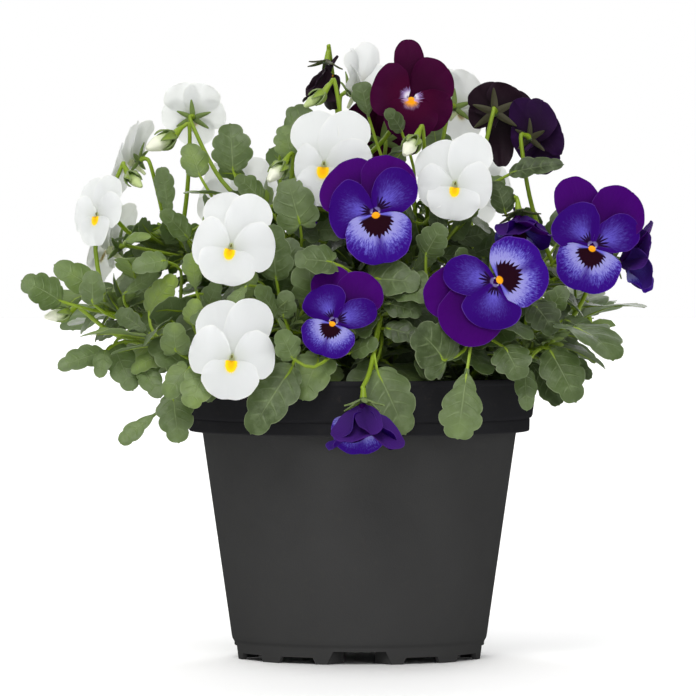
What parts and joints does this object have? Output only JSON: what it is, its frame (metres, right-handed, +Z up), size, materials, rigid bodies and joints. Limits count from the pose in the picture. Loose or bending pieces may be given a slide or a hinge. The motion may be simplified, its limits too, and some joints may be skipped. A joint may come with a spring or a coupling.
{
  "type": "potted violet plant",
  "caption": "Mound of horned violets, with flowers in several colours and scalloped leaves on branching stems, standing in soil in a round tapered nursery pot.",
  "frame": {"origin": "middle of the object's bounding box, at the level on which the pot's foot rests", "axes": "+Z up along the pot's axis; -Y towards the viewer of the picture; +X to the right as the viewer sees it. The pot's axis is 7.75 mm to +X and 4.3 mm to +Y of the origin, because the plant leans to the other side"},
  "size_m": [0.2282, 0.1872, 0.2239],
  "materials": {
    "pot": "semi-matte charcoal black, moulded",
    "soil": "dark, grainy potting soil",
    "foliage": "soft, slightly bluish green leaf with paler veins; yellow-green stems",
    "petal_white": "velvety white with a yellow eye",
    "petal_blue": "velvety violet-blue with a dark blotch and an orange-yellow eye",
    "petal_maroon": "velvety wine red with an orange eye",
    "petal_dark": "nearly black purple",
    "bud_white": "closed white petals, greenish at their foot",
    "bud_green": "closed green bud",
    "bud_blue": "closed violet-blue bud"
  },
  "bodies": {
    "root": {"pot": "pot", "soil": "soil", "shoot_a": "foliage", "shoot_b": "foliage", "shoot_c": "foliage", "shoot_d": "foliage", "shoot_e": "foliage", "shoot_f": "foliage", "shoot_g": "foliage", "shoot_h": "foliage", "shoot_i": "foliage", "shoot_j": "foliage", "shoot_k": "foliage", "shoot_l": "foliage", "shoot_m": "foliage", "shoot_n": "foliage", "shoot_o": "foliage", "shoot_p": "foliage", "flower_blue_1": "petal_blue", "flower_blue_2": "petal_blue", "flower_blue_3": "petal_blue", "flower_blue_4": "petal_blue", "flower_blue_5": "petal_blue", "flower_blue_6": "petal_blue", "flower_blue_7": "petal_blue", "flower_white_1": "petal_white", "flower_white_2": "petal_white", "flower_white_3": "petal_white", "flower_white_4": "petal_white", "flower_white_5": "petal_white", "flower_white_6": "petal_white", "flower_white_7": "petal_white", "flower_white_8": "petal_white", "flower_white_9": "petal_white", "flower_maroon_1": "petal_maroon", "flower_dark_1": "petal_dark", "flower_dark_2": "petal_dark", "flower_dark_3": "petal_dark", "flower_back_1": "petal_white", "flower_back_2": "petal_blue", "flower_back_3": "petal_white", "flower_back_4": "petal_blue", "flower_back_5": "petal_white", "flower_back_6": "petal_maroon", "flower_back_7": "petal_white", "flower_back_8": "petal_blue", "bud_white_1": "bud_white", "bud_white_2": "bud_white", "bud_white_3": "bud_white", "bud_white_4": "bud_white", "bud_green_1": "bud_green", "bud_green_2": "bud_green", "bud_blue_1": "bud_blue"}
  },
  "joints": []
}
